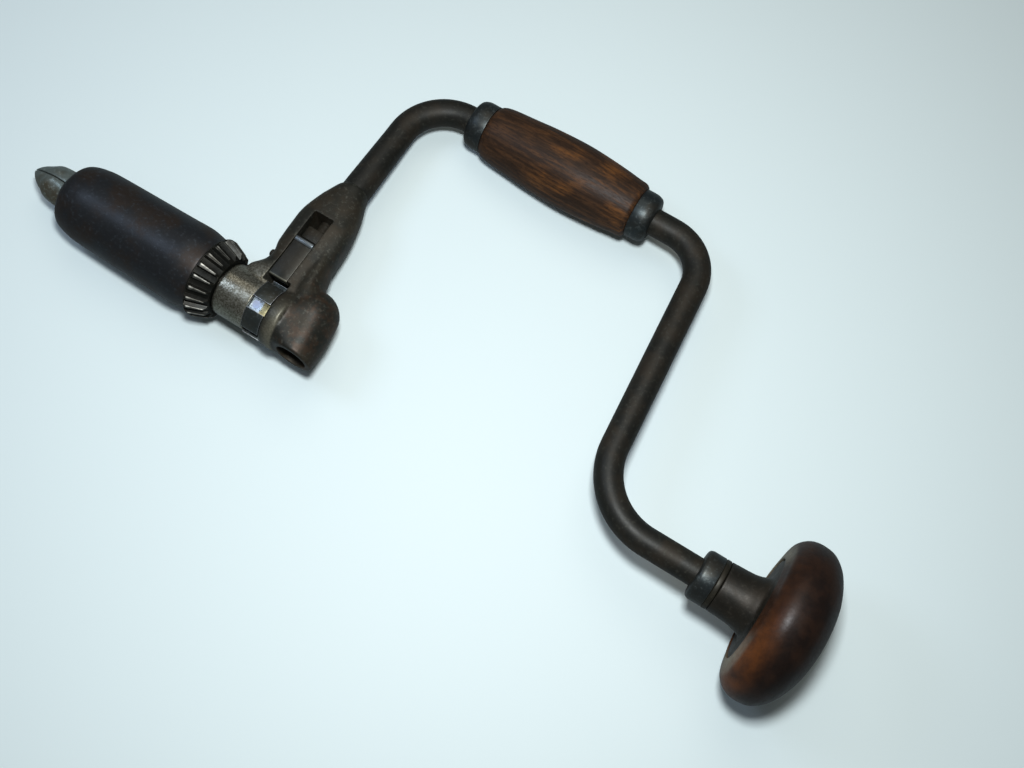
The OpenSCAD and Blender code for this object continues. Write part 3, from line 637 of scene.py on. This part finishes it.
def head_wear_and_cheek_highlight(tree, shader, colour, roughness):
    """The collar is rubbed to a mottled grey, the cheek's lower side carries a painted highlight that
    grows paler towards its rim, and the boss has brown rust."""
    along = place_along(tree, "X")
    up_arm = place_along(tree, "Y")
    speckle = clouds(tree, size=0.8, detail=5.0, rough=0.72)
    patches = ramp(tree, clouds(tree, size=5.0, detail=4.0, rough=0.65), 0.42, 0.66)
    on_boss = ramp(tree, along, window_end_x + 5, window_end_x + 9, 0.0, 0.5)
    colour = tint(tree, times(tree, on_boss, patches), colour, "493526")
    # Painted highlight on the cheek's lower side, paler towards its rim.
    cheek_highlight = times(tree, ramp(tree, along, window_end_x + 5.8, window_end_x + 7.0, 1.0, 0.0),
                     ramp(tree, along, window_end_x + 0.5, window_end_x + 5.6, 0.15, 1.0),
                     ramp(tree, up_arm, -4, 6, 1.0, 0.1),
                     ramp(tree, speckle, 0.35, 0.6, 0.45, 0.8))
    colour = tint(tree, cheek_highlight, colour, "726e5e")
    on_collar = times(tree, ramp(tree, along, window_x - 2, window_x + 3, 1.0, 0.0),
                      ramp(tree, up_arm, 5, 19, 1.0, 0.0))
    mottle = tint(tree, ramp(tree, speckle, 0.38, 0.66), "6d6a5c", "b3b1a2")
    colour = tint(tree, times(tree, on_collar, 0.9), colour, mottle)
    link(tree, calc(tree, "ADD", 0.4, times(tree, on_collar, 0.5)), shader, "Metallic")
    polish = times(tree, on_collar, ramp(tree, speckle, 0.38, 0.66, 0.13, 0.21))
    return colour, calc(tree, "SUBTRACT", roughness, polish)


dress(head, metal("forged_steel_head", "262621", "332d23", "5b5b51", metallic=0.4, rough=(0.38, 0.54),
                  worn=head_wear_and_cheek_highlight))
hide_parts("crank_frame")


# The shell is a turned steel barrel with a rounded nose. It screws along the spindle, and the cone
# behind its mouth presses the jaws together. Its patina is nearly black, with a soft sheen.
def turned_line(start, drops, radius, way=1):
    """A lathe's cuts, each a distance from the start and a drop below the radius. way is -1 where the
    distances run back towards the nose."""
    return [(start + way * distance, radius - drop) for distance, drop in drops]


def flowing(points, steps=6):
    """A smooth line through the points."""
    ends = [points[0], *points, points[-1]]
    line = []
    for a, b, c, d in zip(ends, ends[1:], ends[2:], ends[3:]):
        for s in range(steps):
            t = s / steps
            line.append(tuple(
                ((2 * b[k]) + (c[k] - a[k]) * t + (2 * a[k] - 5 * b[k] + 4 * c[k] - d[k]) * t * t
                 + (3 * b[k] - a[k] - 3 * c[k] + d[k]) * t ** 3) / 2 for k in (0, 1)))
    return line + [tuple(points[-1])]


def shade(obj, sharp):
    """Shades the piece smooth, except over edges sharper than that many degrees."""
    obj.data.shade_smooth()
    obj.data.set_sharp_from_angle(angle=math.radians(sharp))


def spun(name, outline, axis_y, body, sides=96):
    """A turned piece: an outline of (length, radius), closed on itself, spun about a line along X."""
    points = []
    faces = []
    rows = []
    on_axis = 1e-6
    for x, radius in outline:
        if radius < on_axis:
            rows.append([len(points)] * sides)
            points.append((x, axis_y, 0))
        else:
            rows.append(list(range(len(points), len(points) + sides)))
            points += [(x, axis_y + radius * math.cos(2 * math.pi * k / sides),
                        radius * math.sin(2 * math.pi * k / sides)) for k in range(sides)]
    for a, b in zip(rows, rows[1:] + rows[:1]):
        for k in range(sides):
            n = (k + 1) % sides
            face = list(dict.fromkeys((a[k], a[n], b[n], b[k])))
            if len(face) > 2:
                faces.append(tuple(face))
    obj = new_piece(name, points, faces, body)
    outward = bmesh.new()
    outward.from_mesh(obj.data)
    bmesh.ops.recalc_face_normals(outward, faces=outward.faces)
    outward.to_mesh(obj.data)
    outward.free()
    shade(obj, sharp=50)
    return obj


shell_low, shell_high = box_mm("chuck_shell")
shell_radius = shell_high.z
shell_nose_x = shell_low.x
shell_end_x = shell_high.x
mouth_radius = 9.4
thread_radius = 12.6
hollow_radius = 13.2
shell_outside = flowing(
    [(shell_nose_x, mouth_radius + 0.45)]
    + turned_line(shell_nose_x, [(0.6, 7.6), (2.0, 5.4), (3.2, 3.8), (4.6, 2.9), (7, 2.1), (10, 1.5),
                                 (15, 0.95), (31, 0.6), (54, 0.25)], shell_radius)
    + turned_line(shell_end_x, [(13, 0.05), (8.5, 0.1), (3.7, 0.9), (0.6, 1.6), (0, 2.2)],
                  shell_radius, -1))
shell_inside = [
    (shell_end_x, hollow_radius), (shell_end_x - 4, hollow_radius), (shell_end_x - 4, thread_radius),
    (shell_end_x - 30, thread_radius), (shell_end_x - 30, hollow_radius),
    (shell_nose_x + 14, hollow_radius), (shell_nose_x + 2, mouth_radius),
    (shell_nose_x + 0.3, mouth_radius)]
shell = spun("shell_skin", shell_outside + shell_inside, 0, "chuck_shell", 128)
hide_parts("chuck_shell")
dress(shell, metal("dark_shell_steel", "2a2c2e", "312a25", "454b50", metallic=0.55, rough=(0.38, 0.5),
                   edge=0.1, pits=0.02))


# The bevel ring is black iron, shrunk on the spindle behind the shell. Its 21 narrow teeth, which the
# side crank's pinion meshes with, carry a painted highlight along one edge of each crest, and old oil
# fills the gaps.
def copy_of(node, name, body, paint):
    """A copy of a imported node, which stands for it."""
    obj = add_object(name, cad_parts[node].data.copy())
    dress(obj, paint)
    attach(obj, body)
    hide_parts(node)
    return obj


def soften(obj, width, angle):
    """Eases edges sharper than an angle in degrees over a width."""
    modify(obj, "BEVEL", width=width * MM, segments=2, limit_method="ANGLE",
           angle_limit=math.radians(angle), use_clamp_overlap=True)
    shade(obj, sharp=40)


def eased(name, node, body, width, paint):
    """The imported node's shape with its sharp edges eased over a width, which stands for the node."""
    same_point = 0.002
    same_plane = 2
    obj = copy_of(node, name, body, paint)
    clean = bmesh.new()
    clean.from_mesh(obj.data)
    bmesh.ops.remove_doubles(clean, verts=clean.verts, dist=same_point * MM)
    bmesh.ops.dissolve_limit(clean, angle_limit=math.radians(same_plane), verts=clean.verts,
                             edges=clean.edges)
    clean.to_mesh(obj.data)
    clean.free()
    soften(obj, width, angle=28)
    return obj


ring_teeth = 21
ring_cone_x = ring_low.x + 1.8
ring_back_x = ring_high.x - 0.8
ring_back_radius = 15.6
ring_slope = (ring_high.z - ring_back_radius) / (ring_back_x - ring_cone_x)


def tooth_crest_highlight(tree, shader, colour, roughness):
    """A painted highlight: one edge of each tooth's crest is painted bright, most of all at its front
    end.
    """
    along = place_along(tree, "X")
    crest = calc(tree, "SUBTRACT", ring_high.z + ring_slope * ring_cone_x,
                 times(tree, along, ring_slope))
    on_crest = ramp(tree, calc(tree, "SUBTRACT", from_spindle(tree), crest), -0.35, -0.1)
    behind_band = ramp(tree, along, ring_cone_x - 0.4, ring_cone_x + 0.3)
    to_front = ramp(tree, along, ring_cone_x + 0.4, ring_cone_x + 2.0, 1.0, 0.35)
    around = calc(tree, "ARCTAN2", times(tree, place_along(tree, "Y"), -1.0), place_along(tree, "Z"))
    teeth_passed = calc(tree, "ADD", times(tree, around, ring_teeth / (2 * math.pi)), ring_teeth)
    # Painted highlight on one edge of each crest, in patches.
    one_edge = ramp(tree, calc(tree, "FRACT", teeth_passed), 0.43, 0.5, 1.0, 0.12)
    patches = ramp(tree, clouds(tree, size=1.4), 0.3, 0.6, 0.5, 1.0)
    share = times(tree, on_crest, behind_band, to_front, one_edge, patches)
    return tint(tree, share, colour, "d8d5c8"), roughness


iron_finish = metal("black_iron", "1c1d1a", "23211c", "30302a", metallic=0.6, rough=(0.34, 0.48),
                    bright="a5a08f", edge=0.12, pits=0.02, worn=tooth_crest_highlight)
eased("ring_teeth", "bevel_ring", "spindle", 0.22, iron_finish)


# The ratchet wheel sits in the head's window and is pinned to the spindle. It has five wide teeth of
# blued steel with near-white edges, partly worn and partly a painted highlight, and the floors of the
# notches between them carry a painted reflection, bluish white and yellow.
def notch_floor_reflection(tree, shader, colour, roughness):
    """A painted reflection: the notch floors are painted bluish white, yellow towards the pad, broken
    by dark blotches.
    """
    window_middle = (window_x + window_end_x) / 2
    on_floor = ramp(tree, calc(tree, "SUBTRACT", wheel_high.z, from_spindle(tree)), 1.6, 2.2)
    painted_reflection = tint(tree, ramp(tree, place_along(tree, "X"), window_middle + 0.4, window_middle + 1.4),
                "c9d8e4", "a59d76")
    painted_reflection = tint(tree, ramp(tree, clouds(tree, size=1.0, detail=4.0, rough=0.7), 0.5, 0.66),
                painted_reflection, "363631")
    return tint(tree, times(tree, on_floor, 0.85), colour, painted_reflection), roughness


# The near-white edges here are partly worn metal and partly a painted highlight along the teeth.
blued_finish = metal("blued_steel", "3c4241", "3d3d37", "5c6363", metallic=0.7, rough=(0.28, 0.42),
                     bright="c9cacc", edge=0.8, pits=0.01, worn=notch_floor_reflection)
eased("wheel_teeth", "ratchet_wheel", "spindle", 0.3, blued_finish)


# The pawl rocks on its pin in the arm's slot, and the plunger behind it holds it where it is set. Its
# two noses meet the wheel, one for each way of turning, and its crest is what the thumb pushes.
pin_low, pin_high = box_mm("pawl_pin")
pin_across = pin_high.z
pawl_pin_y = (pin_low.y + pin_high.y) / 2
pawl_pin_hole = 5.1
pawl_face = 8.6
crest_y = pawl_high.y - 2.2
crest_z = 7.6
crest_radius = 1.9
pawl_side = [(pawl_low.y + 1.55, 0), (pawl_low.y + 1.1, 3.2), (pawl_low.y + 0.1, 6.3),
             (pawl_low.y, 7.7), (pawl_low.y + 0.3, 8.3), (pawl_low.y + 0.9, pawl_face),
             (crest_y - 1.9, pawl_face)]
for degrees in (145, 120, 95, 70, 45, 20, 0):
    pawl_side.append((crest_y + crest_radius * math.cos(math.radians(degrees)),
                      crest_z + crest_radius * math.sin(math.radians(degrees))))
pawl_side += [(pawl_high.y - 0.6, 5.0), (pawl_high.y - 0.15, 2.5), (pawl_high.y, 0)]
pawl_side += [(y, -z) for y, z in reversed(pawl_side[1:-1])]


def pawl_polish_and_highlight(tree, shader, colour, roughness):
    """The thumb has polished the crest smoother, and its pale colour is a painted highlight; the edge
    over the nose has a thin painted highlight line.
    """
    along = place_along(tree, "Y")
    on_crest = times(tree, ramp(tree, along, crest_y - 1.5, crest_y - 0.9),
                     ramp(tree, along, crest_y + 0.2, crest_y + 0.8, 1.0, 0.0))
    on_nose = times(tree, ramp(tree, along, pawl_low.y + 0.2, pawl_low.y + 0.5),
                    ramp(tree, along, pawl_low.y + 0.8, pawl_low.y + 1.1, 1.0, 0.0))
    # Painted highlights: a thin line over the nose and a pale band on the crest.
    colour = tint(tree, times(tree, on_nose, 0.4), colour, "8e8c7b")
    colour = tint(tree, times(tree, on_crest, 0.6), colour, "7f888d")
    return colour, calc(tree, "SUBTRACT", roughness, times(tree, on_crest, 0.1))


pawl_mesh = bmesh.new()
loft(pawl_mesh, [[(x, y, z) for y, z in pawl_side] for x in (pawl_low.x, pawl_high.x)])
pawl_block = from_bmesh(pawl_mesh, "pawl_block", "pawl")
cut(pawl_block, cutter("pawl_hole", (slot_x, pawl_pin_y, 0), (pawl_pin_hole, 30), along_x))
soften(pawl_block, 0.25, angle=50)
dress(pawl_block, metal("blued_steel_pawl", "22221d", "2a2720", "383731", metallic=0.6,
                        rough=(0.32, 0.46), edge=0.08, pits=0.015, worn=pawl_polish_and_highlight))
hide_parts("pawl")
eased("plunger_block", "pawl_plunger", "pawl_plunger", 0.3, forged_finish)

rivet_outline = [
    (pin_low.x + 0.7, 0), (pin_low.x + 0.7, 1.1), (pin_low.x + 1.0, 1.6), (pin_low.x + 1.6, 1.85),
    (pin_low.x + 2.6, 1.9), (pin_low.x + 2.7, pin_across), (pin_high.x, pin_across), (pin_high.x, 0)]
pawl_rivet = spun("pawl_rivet", rivet_outline, pawl_pin_y, "frame", 48)
dress(pawl_rivet, forged_finish)
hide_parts("pawl_pin")


# The jaws are forged and milled to straight, tapering noses. They are bare grey steel, with brown and
# greenish stains, and darker on their edges and corners.
jaw_finish = metal("jaw_steel", "818b86", "645d4c", "b0bbb5", metallic=0.75, rough=(0.34, 0.5),
                   bright="363431", edge=0.7, pits=0.03)
nose_fill = [(1.0, 1.0), (2.5, 1.06), (4.0, 1.1), (5.2, 1.11), (6.5, 1.06), (8.0, 1.0)]
slit_side = 0.5
for node in ("jaw_upper", "jaw_lower"):
    jaw = eased(node + "_skin", node, node, 0.3, jaw_finish)
    for v in jaw.data.vertices:
        fuller = value_at(nose_fill, v.co.x / MM)
        v.co.z *= fuller
        if abs(v.co.y) > slit_side * MM:
            v.co.y *= fuller


# The grip is turned from walnut and runs loose on the rod. Hands have worn its dark finish through
# along the grain, more towards the pad than towards the head.
def wood(name, dark, mid, worn, wear, rough, wear_place, grain, pore_share, painted_reflection=None):
    """Turned hardwood: fine dark grain under an old finish, and worn streaks where wear_place allows
    them. The last argument, where given, is the place where a pale painted reflection is laid on the
    wood."""
    finish_gloss = 0.16
    grain_depth = 0.05
    paint, tree, shader = new_paint(name)
    shader.inputs["Specular IOR Level"].default_value = finish_gloss
    pore_grain = tuple(0.5 * g if g > 1 else g for g in grain)
    streaks = clouds(tree, size=1.5, detail=5.0, rough=0.6, stretch=grain)
    pores = clouds(tree, size=0.45, rough=0.6, stretch=pore_grain)
    patches = clouds(tree, size=13.0)
    colour = tint(tree, ramp(tree, streaks, 0.38, 0.66), dark, mid)
    worn_through = ramp(tree, calc(tree, "ADD", streaks, times(tree, patches, 0.9)), *wear)
    colour = tint(tree, times(tree, wear_place(tree), worn_through), colour, worn)
    colour = tint(tree, times(tree, ramp(tree, pores, 0.5, 0.68), pore_share), colour, "1b120d")
    # Where given, a pale painted reflection is laid on the wood.
    if painted_reflection:
        colour = tint(tree, painted_reflection(tree), colour, "857d6a")
    link(tree, colour, shader, "Base Color")
    link(tree, ramp(tree, calc(tree, "ADD", streaks, pores), 0.7, 1.3, *rough), shader, "Roughness")
    bumped(tree, shader, calc(tree, "ADD", times(tree, streaks, 0.5), pores), grain_depth)
    return paint


def grip_wear(tree):
    """Little wear at the end by the head, full wear past the middle."""
    return ramp(tree, place_along(tree, "X"), grip_low.x + 12, grip_low.x + 42, 0.15, 1.0)


grip_radius = grip_high.z
grip_end_radius = 11.4
grip_bore = 6.25
belly = 0.58 * (grip_high.x - grip_low.x)
grip_outside = flowing(
    turned_line(grip_low.x, [(0, 0.4), (1.2, -0.7), (3.6, -1.5)], grip_end_radius)
    + turned_line(grip_low.x, [(8, 2.1), (17, 1.4), (28, 0.5), (belly, 0.02)], grip_radius)
    + turned_line(grip_high.x, [(16, 1.0)], grip_radius, -1)
    + turned_line(grip_high.x, [(5.2, -2), (1.5, -1.6), (0, -0.6)], grip_end_radius, -1))
grip_inside = [(grip_high.x, grip_bore), (grip_low.x, grip_bore)]
grip_wood = spun("grip_body", grip_outside + grip_inside, grip_y, "grip", 128)
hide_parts("grip")
dress(grip_wood, wood("grip_wood", "2c1f16", "3f2b1c", "744921", wear=(0.85, 1.5), rough=(0.4, 0.56),
                      wear_place=grip_wear, grain=(10.0, 1.0, 1.0), pore_share=0.6))


# A steel collar is shrunk on the rod at each end of the grip and keeps it in its place. The outer edge
# of each is rounded off, and both have gone blue-black.
def rounded_collar(name, node, round_end, axis_y, depth=4.4, drop=3.0):
    """A turned ring on the rod, rounded off over a depth at one end and barely broken at the other."""
    low, high = box_mm(node)
    radius = high.z
    near, far = (low.x, high.x) if round_end < 0 else (high.x, low.x)
    inward = 1 if far > near else -1
    rounding = [(0, drop), (0.1 * depth, 0.6 * drop), (0.28 * depth, 0.3 * drop),
                (0.68 * depth, 0.07 * drop), (depth, 0.01)]
    outline = flowing(turned_line(near, rounding, radius, inward), 5)
    outline += turned_line(far, [(0.4, 0.01), (0.12, 0.1), (0, 0.4)], radius, -inward)
    outline += [(far, rod_radius), (near, rod_radius)]
    obj = spun(name, outline, axis_y, "frame")
    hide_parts(node)
    dress(obj, collar_finish)


collar_finish = metal("collar_steel", "353b3c", "3b3a35", "69706e", metallic=0.75, rough=(0.32, 0.48),
                      bright="959994", edge=0.45, pits=0.02)
rounded_collar("grip_ring_front", "grip_collar_front", -1, grip_y)
rounded_collar("grip_ring_rear", "grip_collar_rear", 1, grip_y)


# At the pad's end a collar and a thin thrust washer are fixed on the rod, and the quill turns against
# them on a pin. The quill ends in a flange, which three countersunk screws hold to the pad.
rounded_collar("pad_ring", "pad_collar", -1, 0, depth=2.4, drop=1.8)
washer_finish = metal("washer_brass", "28261f", "2e2a21", "443f35", metallic=0.5, rough=(0.4, 0.54),
                      edge=0.2, pits=0.02)
eased("thrust_ring", "pad_thrust_washer", "frame", 0.15, washer_finish)

pin_start_x = washer_high.x - 0.5
pin_end_x = box_mm("pad_nut")[1].x + 2
pin_radius = 5.0
pin_outline = [(pin_start_x, 0), (pin_start_x, pin_radius), (pin_end_x - 0.6, pin_radius),
               (pin_end_x, pin_radius - 0.6), (pin_end_x, 0)]
pad_pin = spun("pad_pin", pin_outline, 0, "frame", 64)
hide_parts("crank_frame")
dress(pad_pin, forged_finish)

quill_low, quill_high = box_mm("pad_quill")
quill_radius = washer_high.z
quill_bore = pin_radius + 0.05
flange_radius = quill_high.z
packed_flange_x = quill_high.x - 2.4
flange_x = quill_high.x - 1.3
quill_neck = flowing(
    turned_line(quill_low.x, [(1, 0), (9.9, -0.5)], quill_radius)
    + turned_line(quill_high.x, [(3.6, -1.7)], quill_radius, -1)
    + turned_line(flange_x, [(-0.7, -2.5), (0, -4.2)], quill_radius))
quill_outline = (
    turned_line(quill_low.x, [(0, 0.4), (0.12, 0.1), (0.4, 0)], quill_radius) + quill_neck
    + turned_line(flange_x, [(0, 0.6), (0.15, 0.2), (0.5, 0)], flange_radius)
    + [(quill_high.x, flange_radius), (quill_high.x, quill_bore), (quill_low.x, quill_bore)])
quill_finish = metal("forged_steel_quill", "23211c", "2d271f", "423e36", metallic=0.45,
                     rough=(0.38, 0.54), bright="928b7d", edge=0.3)
quill = spun("quill_skin", quill_outline, 0, "pad", 128)
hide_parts("pad_quill")
dress(quill, quill_finish)

screws = copy_of("pad_screws", "flange_screws", "pad", quill_finish)
for v in screws.data.vertices:
    v.co.x += (flange_x - packed_flange_x) * MM


# The pad is a flattened mushroom of the same wood, polished by the palm and worn orange-brown on its
# face below the flange. The edge of the wood round the flange carries a pale painted reflection. The
# flange is let into its face, and the nut sits in a hollow behind it.
def pad_wear(tree):
    """The lower part of the rim that faces the head has worn most."""
    face = ramp(tree, place_along(tree, "X"), pad_low.x + 3, pad_low.x + 14, 1.0, 0.0)
    lower = ramp(tree, place_along(tree, "Y"), -24, 2, 1.0, 0.15)
    return times(tree, face, lower)


def lip_painted_reflection(tree):
    """A painted reflection: the edge of the wood round the flange is painted pale, above and below the
    quill.
    """
    at_lip = ramp(tree, place_along(tree, "X"), pad_low.x + 1.3, pad_low.x + 3.0, 1.0, 0.0)
    aside = ramp(tree, calc(tree, "ABSOLUTE", place_along(tree, "Y")), 12, 24, 0.0, 0.8)
    patches = ramp(tree, clouds(tree, size=2.0), 0.3, 0.7, 0.6, 1.0)
    return times(tree, at_lip, aside, patches)


pad_low, pad_high = box_mm("pad")
pad_radius = pad_high.z
lip_x = pad_low.x + 1.0
lip_radius = flange_radius + 0.4
nut_room_radius = 11.0
nut_room_end_x = pin_end_x + 2.5
pad_outside = flowing(
    [(lip_x, lip_radius + 0.5), (lip_x + 0.8, pad_radius - 8)]
    + turned_line(pad_low.x, [(2.6, 4.8), (4.8, 2.2), (7.6, 0.6), (11.6, 0.02), (16.6, 0.9)],
                  pad_radius)
    + turned_line(pad_high.x, [(8.9, 4.2), (6, 8.2), (3.8, 12.7), (2.4, 16.9), (1, 23.8)],
                  pad_radius, -1)
    + [(pad_high.x - 0.2, 3.6), (pad_high.x, 0)])
pad_inside = [
    (nut_room_end_x, 0), (nut_room_end_x, nut_room_radius), (quill_high.x, nut_room_radius),
    (quill_high.x, lip_radius), (lip_x + 0.4, lip_radius), (lip_x + 0.1, lip_radius + 0.15)]
pad_wood = spun("pad_body", pad_outside + pad_inside, 0, "pad", 160)
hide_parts("pad")
dress(pad_wood, wood("pad_wood", "1a1310", "271a13", "683a18", wear=(0.45, 1.35), rough=(0.34, 0.44),
                     wear_place=pad_wear, grain=(6.0, 6.0, 14.0), pore_share=0.2, painted_reflection=lip_painted_reflection))


# What little of the spindle and of the small steel parts shows is plain turned steel, oiled and
# stained. The pin through the wheel is painted a pale bluish white all over: a painted glint where the
# window's light strikes its end.
turned_finish = metal("turned_steel", "6c665c", "594f3e", "8e8b7f", metallic=0.85, rough=(0.3, 0.46),
                      pits=0.015)
pin_painted_glint = metal("turned_steel_pin", "a9b7cf", "a09fa5", "cad6e9", metallic=0.85, rough=(0.3, 0.42),
                   pits=0.01)
dress(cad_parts["ratchet_pin"], pin_painted_glint)
for node in ("spindle", "jaw_spring", "pad_nut_washer", "pad_nut"):
    dress(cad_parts[node], turned_finish)


# The plunger's coil spring is wound of steel wire. It stands against the end of its hole, and here it
# keeps one length.
spring = copy_of("pawl_spring", "plunger_coil", "frame", turned_finish)
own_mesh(spring)

bpy.context.view_layer.update()
